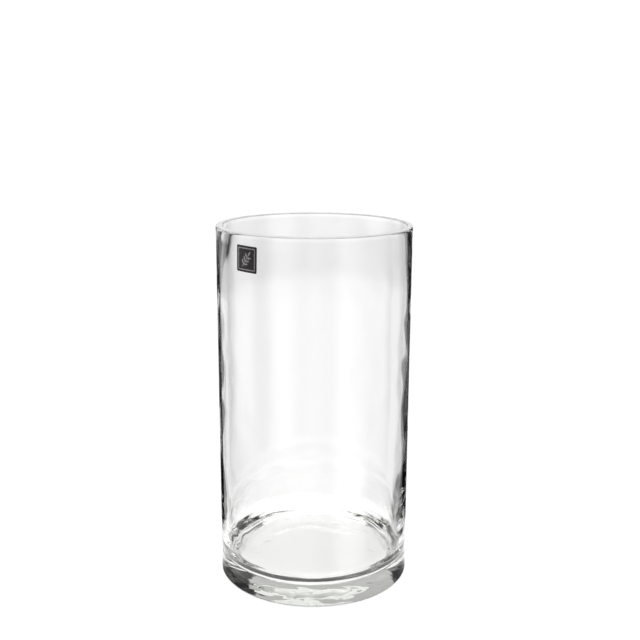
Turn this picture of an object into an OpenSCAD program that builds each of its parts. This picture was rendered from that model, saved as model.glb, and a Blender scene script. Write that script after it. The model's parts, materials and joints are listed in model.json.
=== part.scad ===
// Glass cylinder vase for cut flowers: a straight cylinder of clear glass with a thick solid base,
// and a small square self-adhesive label near the rim.
// Z is up. The origin is the centre of the foot, on the surface that the vase stands on.
// The front faces -Y, and an angle round the wall is counted from the front towards +X.

/* [Glass] */
// Outside diameter of the cylinder
outer_d = 150; // [100:1:200]
// Overall height
height = 280; // [200:5:400]
// Thickness of the wall over most of its height
wall_t = 3; // [2:0.5:4.5]
// Thickness of the solid base in the middle
base_t = 13; // [8:1:25]

/* [Thicker ends of the wall] */
// Thickness of the wall at the rim
rim_wall_t = 5; // [4.5:0.5:8]
// Height of the straight lip of full thickness under the rim
lip_h = 10; // [5:1:15]
// Height over which the wall thins below the lip
rim_taper_h = 45; // [10:5:50]
// Thickness of the wall just above the base
base_wall_t = 5; // [4.5:0.5:8]
// Height of the straight part of full thickness above the floor fillet
low_straight_h = 10; // [5:1:15]
// Height over which the wall thins above that
base_taper_h = 60; // [10:5:60]

/* [Edges] */
// Radius of the rounded outer edge of the ground rim
rim_outer_r = 2; // [0.5:0.1:2]
// Radius of the rounded inner edge of the ground rim
rim_inner_r = 1.5; // [0.5:0.1:1.5]
// Radius of the heel, where the wall turns under to the foot
heel_r = 2; // [1:0.5:6]
// Radius of the fillet between the inside of the wall and the floor
floor_fillet_r = 15; // [3:0.5:20]

/* [Foot] */
// Width of the flat ring that the vase stands on
foot_ring_w = 18; // [6:1:25]
// Depth of the shallow hollow inside the foot ring
punt_depth = 1; // [0.5:0.1:3]

/* [Label] */
// Side of the square label
label_side = 19; // [14:1:30]
// Radius of the label's corners
label_corner_r = 1; // [0.5:0.1:2]
// Distance from the rim down to the label's top edge
label_drop = 8.5; // [3:0.5:40]
// Angle of the label's middle round the wall
label_angle = -39.5; // [-180:0.5:180]
// Lean of the label, clockwise as seen from outside
label_lean = 1.5; // [-5:0.5:5]

/* [Label layers] */
// Thickness of the clear adhesive
adhesive_t = 0.05; // [0.05:0.01:0.1]
// Thickness of the dark film
face_t = 0.15; // [0.1:0.01:0.3]
// Thickness of the silver print
print_t = 0.04; // [0.02:0.01:0.1]

/* [Label print] */
// Distance from the label's edge to the printed border
border_inset = 1.5; // [1:0.1:2]
// Width of the printed border line
border_w = 0.7; // [0.4:0.1:1]
// Number of leaf pairs on the printed sprig
leaf_pairs = 3; // [2:1:4]
// Lean of the sprig, clockwise from upright
sprig_lean = 35; // [0:5:60]

/* [Hidden] */

outer_r = outer_d / 2;
bore_r = outer_r - wall_t;
mouth_r = outer_r - rim_wall_t;
low_r = outer_r - base_wall_t;
punt_r = outer_r - heel_r - foot_ring_w;

// Heights where the inside of the wall changes, from the top of the floor fillet up to the lip
fillet_top_z = base_t + floor_fillet_r;
low_top_z = fillet_top_z + low_straight_h;
bore_bottom_z = low_top_z + base_taper_h;
lip_z = height - lip_h;
bore_top_z = lip_z - rim_taper_h;

face_r = outer_r + adhesive_t;
print_r = face_r + face_t;
label_z = height - label_drop - label_side / 2;

border_side = label_side - 2 * border_inset;
border_corner_r = label_corner_r / 2;
sprig_h = border_side * 0.86;
stem_w = sprig_h * 0.035;
leaf_l = sprig_h * 0.3;
leaf_w = leaf_l * 0.34;
leaf_spread = 52;

glass_fn = 240;
print_fn = 48;

// What a quarter round of radius r leaves of a square corner at [r, r].
module corner(r) {
    difference() {
        square(r);
        circle(r, $fn = glass_fn);
    }
}

// The room inside the vase: from the floor with its fillet, up the straight bore and out through the
// mouth. The wall is thicker at both ends, so the room is a little narrower there.
module inside_profile() {
    above = 2 * height;
    difference() {
        polygon([
            [0, base_t],
            [low_r, base_t],
            [low_r, low_top_z],
            [bore_r, bore_bottom_z],
            [bore_r, bore_top_z],
            [mouth_r, lip_z],
            [mouth_r, above],
            [0, above]
        ]);
        translate([low_r - floor_fillet_r, fillet_top_z])
            mirror([0, 1])
                corner(floor_fillet_r);
    }
}

// The shallow hollow under the base, with a rounded upper edge.
module punt_profile() {
    difference() {
        translate([0, -punt_depth])
            square([punt_r, 2 * punt_depth]);
        translate([punt_r - punt_depth, 0])
            corner(punt_depth);
    }
}

// Half of the glass in section: x is the distance from the axis and y is the height.
module glass_profile() {
    difference() {
        square([outer_r, height]);
        translate([outer_r - heel_r, heel_r])
            mirror([0, 1])
                corner(heel_r);
        translate([outer_r - rim_outer_r, height - rim_outer_r])
            corner(rim_outer_r);
        translate([mouth_r + rim_inner_r, height - rim_inner_r])
            mirror([1, 0])
                corner(rim_inner_r);
        inside_profile();
        punt_profile();
    }
}

// The vase itself, one piece of glass.
module glass_vase() {
    color([0.86, 0.92, 0.9, 0.35])
        rotate_extrude($fn = glass_fn)
            glass_profile();
}

// A square of the given side with round corners, centred on the origin.
module rounded_square(side, r) {
    straight = side - 2 * r;
    square([side, straight], center = true);
    square([straight, side], center = true);
    for (x = [-1, 1], y = [-1, 1])
        translate([x * straight / 2, y * straight / 2])
            circle(r, $fn = print_fn);
}

// Wraps a flat outline on to the wall at the label's place, from radius r outwards by t.
module on_wall(r, t) {
    intersection() {
        translate([0, 0, label_z])
            rotate([90, 0, label_angle])
                rotate(-label_lean)
                    linear_extrude(outer_d)
                        children();
        translate([0, 0, label_z - label_side])
            difference() {
                cylinder(h = 2 * label_side, r = r + t, $fn = glass_fn);
                translate([0, 0, -1])
                    cylinder(h = 2 * label_side + 2, r = r, $fn = glass_fn);
            }
    }
}

// Clear adhesive between the glass and the film.
module label_adhesive() {
    color([0.9, 0.9, 0.86])
        on_wall(outer_r, adhesive_t)
            rounded_square(label_side, label_corner_r);
}

// Dark film that carries the print.
module label_face() {
    color([0.13, 0.12, 0.12])
        on_wall(face_r, face_t)
            rounded_square(label_side, label_corner_r);
}

// Silver line printed round the label, inside its edge.
module label_border_print() {
    color([0.62, 0.61, 0.6])
        on_wall(print_r, print_t)
            difference() {
                rounded_square(border_side, border_corner_r);
                rounded_square(border_side - 2 * border_w, border_corner_r / 2);
            }
}

// One pointed leaf from the origin along +Y: where two equal circles overlap.
module leaf() {
    leaf_r = (leaf_l * leaf_l + leaf_w * leaf_w) / (4 * leaf_w);
    intersection_for(side = [-1, 1])
        translate([side * (leaf_r - leaf_w / 2), leaf_l / 2])
            circle(leaf_r, $fn = print_fn);
}

// Silver sprig in the middle of the label: a stem with pairs of leaves and one leaf at its tip.
module sprig() {
    stem_h = sprig_h - leaf_l * 0.8;
    rotate(-sprig_lean)
        translate([0, -sprig_h / 2]) {
            translate([-stem_w / 2, 0])
                square([stem_w, stem_h]);
            translate([0, stem_h - leaf_l * 0.2])
                leaf();
            for (i = [0 : leaf_pairs - 1], side = [-1, 1])
                translate([0, stem_h * (0.2 + 0.8 * i / leaf_pairs)])
                    rotate(side * leaf_spread)
                        leaf();
        }
}

module label_sprig_print() {
    color([0.62, 0.61, 0.6])
        on_wall(print_r, print_t)
            sprig();
}

glass_vase();
label_adhesive();
label_face();
label_border_print();
label_sprig_print();
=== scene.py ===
"""The looks of a clear glass cylinder vase with a small square label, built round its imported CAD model.

Lengths are in metres and angles in radians unless a name or a comment says otherwise. An angle round
the wall is counted from the front, -Y, towards +X.
"""

import json
import math

import bpy
from mathutils import Matrix, Vector, noise


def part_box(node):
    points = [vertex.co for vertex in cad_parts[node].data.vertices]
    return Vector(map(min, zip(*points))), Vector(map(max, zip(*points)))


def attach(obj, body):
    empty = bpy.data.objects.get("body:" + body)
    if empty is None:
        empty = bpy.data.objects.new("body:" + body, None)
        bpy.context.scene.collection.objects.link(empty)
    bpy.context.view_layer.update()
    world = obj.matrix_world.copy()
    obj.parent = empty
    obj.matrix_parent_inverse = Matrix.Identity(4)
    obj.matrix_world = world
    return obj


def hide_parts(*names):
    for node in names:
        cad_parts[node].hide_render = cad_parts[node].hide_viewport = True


MM = 0.001

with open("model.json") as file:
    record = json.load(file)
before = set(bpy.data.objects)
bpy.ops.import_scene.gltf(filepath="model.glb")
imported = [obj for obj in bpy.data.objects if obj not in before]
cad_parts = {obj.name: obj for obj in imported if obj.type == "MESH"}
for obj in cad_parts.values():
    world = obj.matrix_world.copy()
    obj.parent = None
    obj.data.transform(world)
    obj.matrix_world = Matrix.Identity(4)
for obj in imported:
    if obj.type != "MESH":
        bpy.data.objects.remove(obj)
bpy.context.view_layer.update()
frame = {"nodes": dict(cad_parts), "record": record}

# ---------------------------------------------------------------------------------------------
# Sizes: the outside and the bore come from the frame, the rest repeat the CAD design
# ---------------------------------------------------------------------------------------------

vase_low, vase_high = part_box("glass_vase")
inside_mount = next(m for m in frame["record"]["mounts"] if m["name"] == "inside")
OUTER_R = (vase_high.x - vase_low.x) / 2
HEIGHT = vase_high.z
MOUTH_R = inside_mount["dims"]["r_mm"] * MM
LOW_R = MOUTH_R
BORE_R = OUTER_R - 3 * MM
BASE_T = 13 * MM
RIM_OUTER_R = 2 * MM
RIM_INNER_R = 1.5 * MM
HEEL_R = 2 * MM
FOOT_RING_W = 18 * MM
FLOOR_FILLET_R = 15 * MM
FLOOR_R = LOW_R - FLOOR_FILLET_R
FILLET_TOP = BASE_T + FLOOR_FILLET_R
PUNT_DEPTH = 1 * MM
PUNT_R = OUTER_R - HEEL_R - FOOT_RING_W

# Centres of the rim's two round edges, as (distance from the axis, height)
OUTER_EDGE = (OUTER_R - RIM_OUTER_R, HEIGHT - RIM_OUTER_R)
INNER_EDGE = (MOUTH_R + RIM_INNER_R, HEIGHT - RIM_INNER_R)

label_low, label_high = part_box("label_face")
label_middle = (label_low + label_high) / 2

# Heights between which the wall thickens, to the lip and to the base
THIN_WALL_TOP = HEIGHT - 55 * MM
LIP_BOTTOM = HEIGHT - 8 * MM
THIN_WALL_BOTTOM = FILLET_TOP + 72 * MM
SWELL_BOTTOM = FILLET_TOP + 9 * MM

# Unevenness of the hand-made glass: how high each kind of bump is, how long, and where it ends
IN_SWELL = 0.3 * MM
IN_SWELL_SIZE = 45 * MM
IN_DIMPLE = 0.12 * MM
IN_DIMPLE_SIZE = 14 * MM
BASE_RIPPLE = 0.25 * MM
BASE_RIPPLE_SIZE = 12 * MM
BASE_RIPPLE_TOP = 70 * MM
OUT_SWELL = 0.12 * MM
OUT_SWELL_SIZE = 30 * MM
OUT_SWELL_OFF_LABEL = (14 * MM, 25 * MM)
FOOT_SWELL = 0.25 * MM
FOOT_SWELL_SIZE = 12 * MM
FOOT_SWELL_FADE = 6 * MM
FLOOR_SWELL = 0.3 * MM
FLOOR_SWELL_SIZE = 18 * MM
RING_HEIGHT = 0.12 * MM
RING_PITCH = 0.9 * MM
RING_WANDER_SIZE = 60 * MM
RINGS_START = (38 * MM, 52 * MM)
RIM_SHIFT = 0.5 * MM
RIM_FADE = HEIGHT - 12 * MM

# The ground face of the rim: half its thickness, and where it ends on the two round edges, in degrees
SKIN_PROUD = 0.03 * MM
SKIN_OUTER_END = 25
SKIN_INNER_END = 160

# How finely the section is divided
TURNS = 360
WALL_STEPS = 84
FOOT_STEPS = 34
FLOOR_STEPS = 24
FILLET_STEPS = 20
EDGE_STEPS = 8
INNER_EDGE_STEPS = 7
SKIN_STEPS = 10


# ---------------------------------------------------------------------------------------------
# Section of the glass
# ---------------------------------------------------------------------------------------------


def arc(centre, radius, start_deg, end_deg, steps):
    """Points on an arc in the section plane, where x is the distance from the axis."""
    angles = [math.radians(start_deg + (end_deg - start_deg) * i / steps) for i in range(steps + 1)]
    return [(centre[0] + radius * math.cos(a), centre[1] + radius * math.sin(a)) for a in angles]


def spread(start, end, steps):
    """Evenly spaced numbers between two numbers, without the two ends."""
    return [start + (end - start) * i / steps for i in range(1, steps)]


def smooth(x, lo, hi):
    """0 below lo, 1 above hi, and an S-shaped curve between them."""
    t = min(max((x - lo) / (hi - lo), 0.0), 1.0)
    return t * t * (3 - 2 * t)


def taper(x, lo, hi):
    """Like smooth, but straight in the middle, with only its ends eased."""
    ease = 0.2
    t = min(max((x - lo) / (hi - lo), 0.0), 1.0)
    if t < ease:
        return t * t / (2 * ease * (1 - ease))
    if t > 1 - ease:
        return 1 - (1 - t) ** 2 / (2 * ease * (1 - ease))
    return (t - ease / 2) / (1 - ease)


def inner_r(z):
    """Radius of the bore at a height: it narrows towards the rim and towards the base."""
    at_rim = taper(z, THIN_WALL_TOP, LIP_BOTTOM)
    at_base = taper(z, THIN_WALL_BOTTOM, SWELL_BOTTOM)
    return BORE_R - (BORE_R - MOUTH_R) * at_rim - (BORE_R - LOW_R) * at_base


def punt_z(r):
    """Height of the underside: a shallow hollow that runs out into the foot ring."""
    return PUNT_DEPTH * (1 - smooth(r, PUNT_R * 0.6, PUNT_R))


def glass_section():
    """The outline as (side, r, z): out along the foot, up the wall, over the rim and down inside."""
    rim = arc(OUTER_EDGE, RIM_OUTER_R, 0, 90, EDGE_STEPS)
    rim += arc(INNER_EDGE, RIM_INNER_R, 90, 180, INNER_EDGE_STEPS)
    floor = arc((FLOOR_R, FILLET_TOP), FLOOR_FILLET_R, 0, -90, FILLET_STEPS)
    floor += [(r, BASE_T) for r in spread(FLOOR_R, 0, FLOOR_STEPS) + [0.0]]
    sides = {
        "foot": [(r, punt_z(r)) for r in [0.0] + spread(0, OUTER_R - HEEL_R, FOOT_STEPS)],
        "heel": arc((OUTER_R - HEEL_R, HEEL_R), HEEL_R, -90, 0, EDGE_STEPS),
        "outside": [(OUTER_R, z) for z in spread(HEEL_R, OUTER_EDGE[1], WALL_STEPS)],
        "rim": rim,
        "inside": [(inner_r(z), z) for z in spread(INNER_EDGE[1], FILLET_TOP, WALL_STEPS)],
        "floor": floor,
    }
    return [(side, r, z) for side, points in sides.items() for r, z in points]


# ---------------------------------------------------------------------------------------------
# Unevenness. In the calls of wave, an offset gives each kind of bump its own part of the noise,
# and a factor on z makes the bumps longer or shorter along the height.
# ---------------------------------------------------------------------------------------------


def wave(x, y, z, size):
    """Smooth bumps between about -1 and 1 that are size across."""
    return noise.noise(Vector((x, y, z)) / size)


def bore_bumps(x, y, z, near_base):
    """How far the inside swells outwards: long swells, dimples, and ripples near the base."""
    swell = wave(x + 0.3, y, z * 0.55, IN_SWELL_SIZE)
    dimple = wave(x, y + 0.2, z * 0.8, IN_DIMPLE_SIZE)
    ripple = wave(x, y, z * 2.2, BASE_RIPPLE_SIZE)
    return IN_SWELL * swell + IN_DIMPLE * dimple + BASE_RIPPLE * near_base * ripple


def uneven_foot(x, y, r):
    """The foot bulges upwards inside its ring, which stays flat."""
    in_hollow = 1 - smooth(r, PUNT_R, PUNT_R + FOOT_SWELL_FADE)
    return 0.0, FOOT_SWELL * abs(wave(x, y, 0.1, FOOT_SWELL_SIZE)) * in_hollow


def uneven_outside(x, y, z):
    """The outside swells a little, but not under the label and not at the rim."""
    off_label = smooth((Vector((x, y, z)) - label_middle).length, *OUT_SWELL_OFF_LABEL)
    below_rim = 1 - smooth(z, RIM_FADE, HEIGHT - RIM_OUTER_R)
    return OUT_SWELL * wave(x, y, z * 0.6, OUT_SWELL_SIZE) * off_label * below_rim, 0.0


def uneven_inside(x, y, z, shift):
    """The inside has the bumps of the bore, and follows the rim's shift at the lip."""
    bumps = bore_bumps(x, y, z, 1 - smooth(z, FILLET_TOP, BASE_RIPPLE_TOP))
    at_lip = shift * taper(z, THIN_WALL_TOP, LIP_BOTTOM)
    below_rim = 1 - smooth(z, RIM_FADE, HEIGHT - RIM_INNER_R)
    return at_lip + bumps * below_rim, 0.0


def uneven_floor(x, y, r, z):
    """Fine rings on the fillet and the outer floor. Over the fillet the bumps turn from out to up."""
    across = smooth(r, FLOOR_R, LOW_R)
    round_r = max(r - FLOOR_R, 0.0) / FLOOR_FILLET_R
    round_z = (z - FILLET_TOP) / FLOOR_FILLET_R
    phase = (r + z) / RING_PITCH + 2 * wave(x, y, 0.5, RING_WANDER_SIZE)
    ring = RING_HEIGHT * math.sin(phase) * smooth(r, *RINGS_START)
    swell = FLOOR_SWELL * wave(x, y, 0.7, FLOOR_SWELL_SIZE)
    return bore_bumps(x, y, z, 1.0) * across + ring * round_r, swell * (1 - across) + ring * round_z


def uneven(side, r, z, turn):
    """How far the hand-made glass is off its ideal outline at a point, as (outwards, upwards)."""
    x = r * math.sin(turn)
    y = -r * math.cos(turn)
    shift = RIM_SHIFT * math.sin(turn)
    if side == "foot":
        return uneven_foot(x, y, r)
    if side in ("heel", "outside"):
        return uneven_outside(x, y, z)
    if side == "rim":
        return shift * (1 - smooth(r, MOUTH_R, OUTER_R - RIM_OUTER_R)), 0.0
    if side == "inside":
        return uneven_inside(x, y, z, shift)
    return uneven_floor(x, y, r, z)


# ---------------------------------------------------------------------------------------------
# Meshes
# ---------------------------------------------------------------------------------------------


def new_object(name, verts, faces):
    """A smooth-shaded mesh object in the scene."""
    mesh = bpy.data.meshes.new(name)
    mesh.from_pydata(verts, [], faces)
    mesh.validate()
    mesh.shade_smooth()
    obj = bpy.data.objects.new(name, mesh)
    bpy.context.scene.collection.objects.link(obj)
    return obj


def place(side, r, z, turn):
    """A point of the section at an angle round the axis, with the unevenness added."""
    out, up = uneven(side, r, z, turn)
    return ((r + out) * math.sin(turn), -(r + out) * math.cos(turn), z + up)


def full_turn(side, r, z):
    """A ring of points round the axis."""
    return [place(side, r, z, 2 * math.pi * k / TURNS) for k in range(TURNS)]


def quads(first, second):
    """Faces between two rings, each given by the number of its first point."""
    faces = []
    for k in range(TURNS):
        after = (k + 1) % TURNS
        faces.append((first + k, first + after, second + after, second + k))
    return faces


def build_glass():
    """The glass as one closed mesh, turned from its section."""
    section = glass_section()
    verts = [place(*section[0], 0.0)]
    for point in section[1:-1]:
        verts += full_turn(*point)
    verts.append(place(*section[-1], 0.0))
    last = len(verts) - 1
    faces = [(0, 1 + (k + 1) % TURNS, 1 + k) for k in range(TURNS)]
    for low in range(1, last - TURNS, TURNS):
        faces += quads(low, low + TURNS)
    top = last - TURNS
    faces += [(top + k, top + (k + 1) % TURNS, last) for k in range(TURNS)]
    return new_object("vase_glass", verts, faces)


def skin_outline(stand):
    """Half of the rim skin's outline, standing proud of the glass by the given distance."""
    outline = arc(OUTER_EDGE, RIM_OUTER_R + stand, SKIN_OUTER_END, 90, SKIN_STEPS)
    return outline + arc(INNER_EDGE, RIM_INNER_R + stand, 90, SKIN_INNER_END, EDGE_STEPS)


def build_rim_skin():
    """The ground face of the rim: a thin closed ring that lies on the rim and its round edges."""
    section = skin_outline(SKIN_PROUD) + skin_outline(-SKIN_PROUD)[::-1]
    verts = []
    for r, z in section:
        verts += full_turn("rim", r, z)
    faces = []
    for i in range(len(section)):
        faces += quads(i * TURNS, (i + 1) % len(section) * TURNS)
    return new_object("rim_ground_face", verts, faces)


# ---------------------------------------------------------------------------------------------
# Node tools
# ---------------------------------------------------------------------------------------------


class Tree:
    """A node tree whose nodes are added and joined in one call.

    An input is given by its name, with _ for a space. Its value is a number, a colour or the output
    of another node.
    """

    def __init__(self, node_tree):
        self.nodes = node_tree.nodes
        self.links = node_tree.links

    def join(self, value, socket):
        """Sets one input."""
        if isinstance(value, bpy.types.NodeSocket):
            self.links.new(value, socket)
        else:
            socket.default_value = value

    def join_all(self, node, **inputs):
        """Sets several inputs of a node."""
        for name, value in inputs.items():
            self.join(value, node.inputs[name.replace("_", " ")])

    def add(self, kind, settings=None, **inputs):
        """A new node. Its settings come first, because they choose which inputs it has."""
        node = self.nodes.new(kind)
        for name, value in (settings or {}).items():
            setattr(node, name, value)
        self.join_all(node, **inputs)
        return node

    def ramp(self, value, low, high, out_low, out_high):
        """Turns low to high into out_low to out_high, smoothly and without going past them."""
        node = self.add("ShaderNodeMapRange", {"interpolation_type": "SMOOTHSTEP"}, Value=value)
        self.join_all(node, From_Min=low, From_Max=high, To_Min=out_low, To_Max=out_high)
        return node.outputs["Result"]

    def rise(self, value, edge, soft):
        """0 below an edge and 1 above it, softened by the same amount on both sides."""
        return self.ramp(value, edge - soft, edge + soft, 0.0, 1.0)

    def fall(self, value, edge, soft):
        """1 below an edge and 0 above it, softened by the same amount on both sides."""
        return self.ramp(value, edge - soft, edge + soft, 1.0, 0.0)

    def calc(self, operation, *values):
        """One sum, such as ADD or ARCTAN2."""
        node = self.add("ShaderNodeMath", {"operation": operation})
        for value, socket in zip(values, node.inputs):
            self.join(value, socket)
        return node.outputs[0]

    def blend(self, factor, first, second):
        """A number between two numbers."""
        node = self.add("ShaderNodeMix", {"data_type": "FLOAT"}, Factor=factor, A=first, B=second)
        return node.outputs["Result"]

    def tint(self, factor, first, second):
        """A colour between two colours."""
        node = self.add("ShaderNodeMix", {"data_type": "RGBA"}, Factor=factor, A=(*first, 1), B=(*second, 1))
        return node.outputs["Result"]

    def speckle(self, scale, detail=2.0):
        """Soft random specks that are fixed to the object, about 1/scale metres across."""
        coords = self.add("ShaderNodeTexCoord").outputs["Object"]
        return self.add("ShaderNodeTexNoise", Vector=coords, Scale=scale, Detail=detail).outputs["Fac"]

    def grain(self, shader, scale, depth):
        """A fine grain on a shader's surface."""
        bump = self.add("ShaderNodeBump", Height=self.speckle(scale), Distance=depth, Strength=0.6)
        self.join(bump.outputs["Normal"], shader.inputs["Normal"])


def new_material(name):
    """A new material, with its node tree and its shader."""
    mat = bpy.data.materials.new(name)
    mat.use_nodes = True
    return mat, Tree(mat.node_tree), mat.node_tree.nodes["Principled BSDF"]


# ---------------------------------------------------------------------------------------------
# Materials of the vase
# ---------------------------------------------------------------------------------------------

GLASS_IOR = 1.5
GLASS_DEPTH_COLOUR = (0.5, 0.52, 0.44, 1)
GLASS_DEPTH_DENSITY = 4.0
SMUDGE_ROUGHNESS = 0.03
RIM_WHITE = (0.96, 0.965, 0.96)
RIM_CLEARER = (0.91, 0.92, 0.915)
FILM_DARK = (0.020, 0.016, 0.018)
FILM_RUBBED = (0.058, 0.050, 0.052)
FOIL_BRIGHT = (0.50, 0.48, 0.485)
FOIL_WORN = (0.24, 0.225, 0.23)
ADHESIVE_WET = (0.030, 0.027, 0.028)
ADHESIVE_BUBBLE = (0.20, 0.20, 0.19)


def glass_material():
    """Clear glass with a faint grey tint in its depth and faint smudges."""
    mat, tree, shader = new_material("clear_glass")
    smudge = tree.ramp(tree.speckle(26.0, 5.0), 0.55, 0.75, 0.0, SMUDGE_ROUGHNESS)
    tree.join_all(shader, Base_Color=(1, 1, 1, 1), Transmission_Weight=1.0, IOR=GLASS_IOR, Roughness=smudge)
    depth = tree.add("ShaderNodeVolumeAbsorption", Color=GLASS_DEPTH_COLOUR, Density=GLASS_DEPTH_DENSITY)
    tree.join_all(tree.nodes["Material Output"], Volume=depth.outputs[0])
    return mat


def ground_rim_material():
    """Ground glass: satin white with a fine grain and slightly clearer patches."""
    mat, tree, shader = new_material("ground_rim")
    patches = tree.ramp(tree.speckle(220.0, 4.0), 0.4, 0.7, 0.0, 1.0)
    rough = tree.ramp(tree.speckle(1200.0), 0.3, 0.7, 0.42, 0.6)
    tree.join_all(shader, Base_Color=tree.tint(patches, RIM_WHITE, RIM_CLEARER), Roughness=rough)
    tree.grain(shader, 4200.0, 0.03 * MM)
    return mat


def film_material():
    """Satin dark film: fine grain, and faint lighter rubbed patches."""
    mat, tree, shader = new_material("label_film")
    rubbed = tree.ramp(tree.speckle(420.0, 4.0), 0.45, 0.75, 0.0, 1.0)
    rough = tree.ramp(tree.speckle(900.0), 0.3, 0.7, 0.34, 0.52)
    tree.join_all(shader, Base_Color=tree.tint(rubbed, FILM_DARK, FILM_RUBBED), Roughness=rough)
    tree.grain(shader, 5200.0, 0.02 * MM)
    return mat


def print_material():
    """Matte silver foil, a little worn: dull specks and uneven roughness."""
    mat, tree, shader = new_material("label_print")
    worn = tree.ramp(tree.speckle(2600.0, 3.0), 0.5, 0.72, 0.0, 1.0)
    rough = tree.ramp(tree.speckle(1500.0), 0.3, 0.7, 0.36, 0.56)
    tree.join_all(shader, Base_Color=tree.tint(worn, FOIL_BRIGHT, FOIL_WORN), Roughness=rough, Metallic=0.85)
    tree.grain(shader, 7000.0, 0.01 * MM)
    return mat


def adhesive_material():
    """What shows through the glass: dark film wetted by the adhesive, with pale trapped bubbles."""
    mat, tree, shader = new_material("label_adhesive")
    bubbles = tree.ramp(tree.speckle(1300.0, 1.0), 0.66, 0.70, 0.0, 1.0)
    rough = tree.ramp(tree.speckle(300.0), 0.3, 0.7, 0.12, 0.28)
    tree.join_all(shader, Base_Color=tree.tint(bubbles, ADHESIVE_WET, ADHESIVE_BUBBLE), Roughness=rough)
    return mat


def dress(node, mat):
    """Gives a CAD node its finished material."""
    for material_slot in frame["nodes"][node].material_slots:
        material_slot.material = mat


# ---------------------------------------------------------------------------------------------
# Floor. It glows softly, as a lit table does, and fades out at some distance from the vase. A ring
# of painted shadow in its colour and glow lies under and round the foot, darker in front of the vase,
# because the light comes from behind. The camera sees only a trace of this painted shadow.
# ---------------------------------------------------------------------------------------------

FLOOR_REACH = 0.5
FLOOR_DROP = 0.1 * MM
FLOOR_LIGHT = 0.75
FLOOR_GREY = (0.8, 0.8, 0.8)

# How much light the shadow takes in front and behind, and how much of the shadow the camera sees
SHADOW_FRONT = 0.72
SHADOW_BACK = 0.15
SHADOW_SEEN = 0.22

# Distances from the axis, and along Y for the change from front to back
SHADOW_INNER = (0.058, 0.066)
SHADOW_OUTER = (0.084, 0.102)
SHADOW_TURN = (-0.02, 0.02)
FLOOR_FADE = (0.10, 0.14)


def floor_material():
    """The pale floor with its painted shadow, set into its colour and its glow."""
    mat, tree, shader = new_material("studio_floor")
    coords = tree.add("ShaderNodeTexCoord").outputs["Object"]
    from_axis = tree.add("ShaderNodeVectorMath", {"operation": "LENGTH"}, Vector=coords).outputs["Value"]
    y = tree.add("ShaderNodeSeparateXYZ", Vector=coords).outputs["Y"]
    # Painted shadow: a ring round the foot where the floor's colour and glow are darkened, more in front
    shadowed = tree.ramp(y, *SHADOW_TURN, 1.0 - SHADOW_FRONT, 1.0 - SHADOW_BACK)
    inner = tree.ramp(from_axis, *SHADOW_INNER, 1.0, shadowed)
    shade = tree.ramp(from_axis, *SHADOW_OUTER, inner, 1.0)
    is_camera = tree.add("ShaderNodeLightPath").outputs["Is Camera Ray"]
    darkest = tree.ramp(is_camera, 0.0, 1.0, 0.0, 1.0 - SHADOW_SEEN)
    shown = tree.ramp(shade, 0.0, 1.0, darkest, 1.0)
    tree.join_all(
        shader,
        Base_Color=tree.tint(shown, (0, 0, 0), FLOOR_GREY),
        Roughness=0.9,
        Specular_IOR_Level=0.0,
        Emission_Color=(1, 1, 1, 1),
        Emission_Strength=tree.ramp(shown, 0.0, 1.0, 0.0, FLOOR_LIGHT),
    )
    clear = tree.add("ShaderNodeBsdfTransparent")
    mix = tree.add("ShaderNodeMixShader", Fac=tree.ramp(from_axis, *FLOOR_FADE, 0.0, 1.0))
    tree.join(shader.outputs[0], mix.inputs[1])
    tree.join(clear.outputs[0], mix.inputs[2])
    tree.join_all(tree.nodes["Material Output"], Surface=mix.outputs[0])
    return mat


def build_floor():
    """A flat square just under the foot."""
    corners = [(x * FLOOR_REACH, y * FLOOR_REACH, 0) for x, y in ((-1, -1), (1, -1), (1, 1), (-1, 1))]
    floor = new_object("studio_floor", corners, [(0, 1, 2, 3)])
    floor.location.z = -FLOOR_DROP
    floor.data.materials.append(floor_material())


# ---------------------------------------------------------------------------------------------
# Studio. Azimuths and elevations are in degrees. Azimuths are counted from +Y, behind the vase,
# towards +X.
# ---------------------------------------------------------------------------------------------

# Each card is a white panel with a dark gap on both sides that ends at gap_end from its middle.
# A later card covers an earlier one.
CARDS = [
    {"azimuth": 135, "bottom": -38, "top": 14, "soft": 9, "gap_end": 42},
    {"azimuth": -90, "bottom": -20, "top": 14, "soft": 9, "gap_end": 42},
    {"azimuth": 0, "bottom": -38, "top": 14, "soft": 2, "gap_end": 42},
    {"azimuth": -47, "bottom": -38, "top": -8, "soft": 2, "gap_end": 11},
]
CARD_HALF_WIDTH = 17
CARD_EDGE_SOFT = 2
CARD_FADE = 0.93
CARD_FADE_AT = (1.5, 8)
PANEL_LIGHT = 1.08
PANEL_TOP_LIGHT = PANEL_LIGHT * 0.86
PANEL_DIMS_AT = (-11, -5.5)
DARK_LIGHT = 0.01
AMBIENT_LIGHT = 0.4
FAR_FLOOR_LIGHT = 0.7
FAR_FLOOR_TOP = (-44, -38)

# The band above the cards: a wide back panel between two azimuths, with the dark studio beyond it
LOW_TOP = 14.5
LOW_TOP_SOFT = 1.5
BACK_LIGHT = 0.65
BACK_PANEL = (-49, 29)
BACK_PANEL_SOFT = 1

# The light overhead starts higher towards the two sides of the back than it does anywhere else
TOP_LIGHT = 1.9
TOP_SOFT = 12
TOP_START = 38
SIDE_TOP_START = 60
SIDE_START = (18, 24)
SIDE_END = (75, 85)

# The plain white that the camera sees beyond the vase and the floor
SEEN_LIGHT = 1.1


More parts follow.
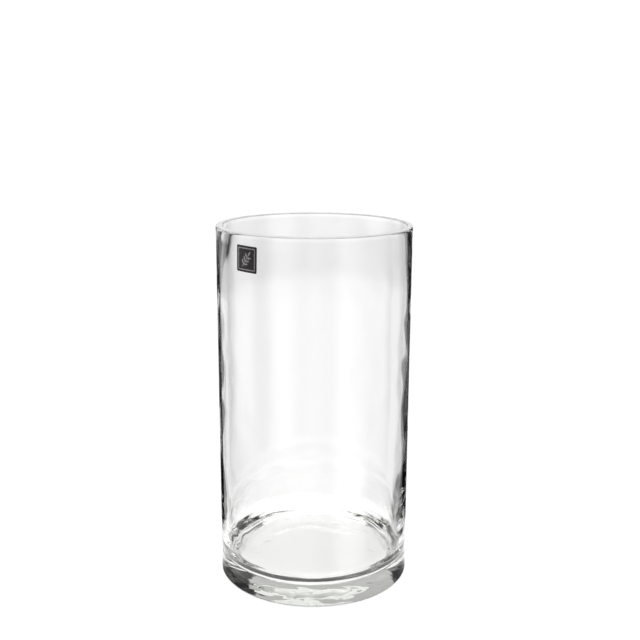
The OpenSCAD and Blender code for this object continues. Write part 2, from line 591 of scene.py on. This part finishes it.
def card_band(tree, azimuth, elevation):
    """Light at and below the horizon: the cards, the far floor and plain grey between them."""
    light = tree.ramp(elevation, *FAR_FLOOR_TOP, FAR_FLOOR_LIGHT, AMBIENT_LIGHT)
    panel = tree.ramp(elevation, *PANEL_DIMS_AT, PANEL_LIGHT, PANEL_TOP_LIGHT)
    for card in CARDS:
        off = tree.calc("PINGPONG", tree.calc("SUBTRACT", azimuth, card["azimuth"]), 180.0)
        faded = tree.calc("MULTIPLY", panel, tree.ramp(off, *CARD_FADE_AT, 1.0, CARD_FADE))
        face = tree.blend(tree.rise(off, CARD_HALF_WIDTH, card["soft"]), faded, DARK_LIGHT)
        beside = tree.fall(off, card["gap_end"], card["soft"])
        above = tree.rise(elevation, card["bottom"], CARD_EDGE_SOFT)
        below = tree.fall(elevation, card["top"], CARD_EDGE_SOFT)
        on_card = tree.calc("MULTIPLY", beside, tree.calc("MULTIPLY", above, below))
        light = tree.blend(on_card, light, face)
    return light


def back_band(tree, azimuth):
    """Light above the cards."""
    after_start = tree.rise(azimuth, BACK_PANEL[0], BACK_PANEL_SOFT)
    before_end = tree.fall(azimuth, BACK_PANEL[1], BACK_PANEL_SOFT)
    lit = tree.calc("MULTIPLY", after_start, before_end)
    return tree.calc("ADD", tree.calc("MULTIPLY", lit, BACK_LIGHT), DARK_LIGHT)


def overhead(tree, azimuth, elevation):
    """How far a direction is into the light overhead: 0 at its start, 1 where it is full."""
    from_back = tree.calc("ABSOLUTE", azimuth)
    past_start = tree.ramp(from_back, *SIDE_START, 0.0, 1.0)
    before_end = tree.ramp(from_back, *SIDE_END, 1.0, 0.0)
    start = tree.blend(tree.calc("MULTIPLY", past_start, before_end), TOP_START, SIDE_TOP_START)
    return tree.calc("MULTIPLY", tree.calc("SUBTRACT", elevation, start), 1 / TOP_SOFT)


def build_world():
    """The studio as light from every direction. The camera itself sees only plain white."""
    world = bpy.data.worlds.new("studio")
    bpy.context.scene.world = world
    world.use_nodes = True
    world.node_tree.nodes.clear()
    tree = Tree(world.node_tree)
    coords = tree.add("ShaderNodeTexCoord").outputs["Generated"]
    way = tree.add("ShaderNodeSeparateXYZ", Vector=coords).outputs
    azimuth = tree.calc("DEGREES", tree.calc("ARCTAN2", way["X"], way["Y"]))
    elevation = tree.calc("DEGREES", tree.calc("ARCSINE", way["Z"]))
    low = card_band(tree, azimuth, elevation)
    light = tree.blend(tree.rise(elevation, LOW_TOP, LOW_TOP_SOFT), low, back_band(tree, azimuth))
    light = tree.ramp(overhead(tree, azimuth, elevation), 0.0, 1.0, light, TOP_LIGHT)
    is_camera = tree.add("ShaderNodeLightPath").outputs["Is Camera Ray"]
    strength = tree.blend(is_camera, light, SEEN_LIGHT)
    background = tree.add("ShaderNodeBackground", Color=(1, 1, 1, 1), Strength=strength)
    tree.add("ShaderNodeOutputWorld", Surface=background.outputs[0])


# ---------------------------------------------------------------------------------------------
# Camera
# ---------------------------------------------------------------------------------------------

LENS_MM = 54.7
SENSOR_MM = 36
CAMERA_PLACE = (0.00455, -0.7375, 0.3757)
CAMERA_DOWN_DEG = 13.063
CAMERA_ROLL_DEG = 0.221
MAX_BOUNCES = 24
MAX_GLOSSY_BOUNCES = 16
MAX_DIFFUSE_BOUNCES = 4


def build_camera():
    """A camera in front of the vase and above it, looking a little down."""
    data = bpy.data.cameras.new("camera")
    data.lens = LENS_MM
    data.sensor_width = SENSOR_MM
    camera = bpy.data.objects.new("camera", data)
    bpy.context.scene.collection.objects.link(camera)
    pitch = Matrix.Rotation(math.radians(90 - CAMERA_DOWN_DEG), 4, "X")
    roll = Matrix.Rotation(math.radians(CAMERA_ROLL_DEG), 4, "Z")
    camera.matrix_world = Matrix.Translation(CAMERA_PLACE) @ pitch @ roll
    bpy.context.scene.camera = camera


def set_render_looks():
    """Plain colours, and enough bounces for light that crosses the glass many times."""
    scene = bpy.context.scene
    scene.view_settings.view_transform = "Standard"
    scene.cycles.max_bounces = MAX_BOUNCES
    scene.cycles.transmission_bounces = MAX_BOUNCES
    scene.cycles.glossy_bounces = MAX_GLOSSY_BOUNCES
    scene.cycles.diffuse_bounces = MAX_DIFFUSE_BOUNCES
    scene.cycles.use_denoising = True


# ---------------------------------------------------------------------------------------------
# The scene
# ---------------------------------------------------------------------------------------------

build_camera()
build_world()
build_floor()
set_render_looks()

glass = build_glass()
glass.data.materials.append(glass_material())
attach(glass, "root")
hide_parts("glass_vase")

rim_skin = build_rim_skin()
rim_skin.data.materials.append(ground_rim_material())
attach(rim_skin, "root")

dress("label_adhesive", adhesive_material())
dress("label_face", film_material())
foil = print_material()
dress("label_border_print", foil)
dress("label_sprig_print", foil)
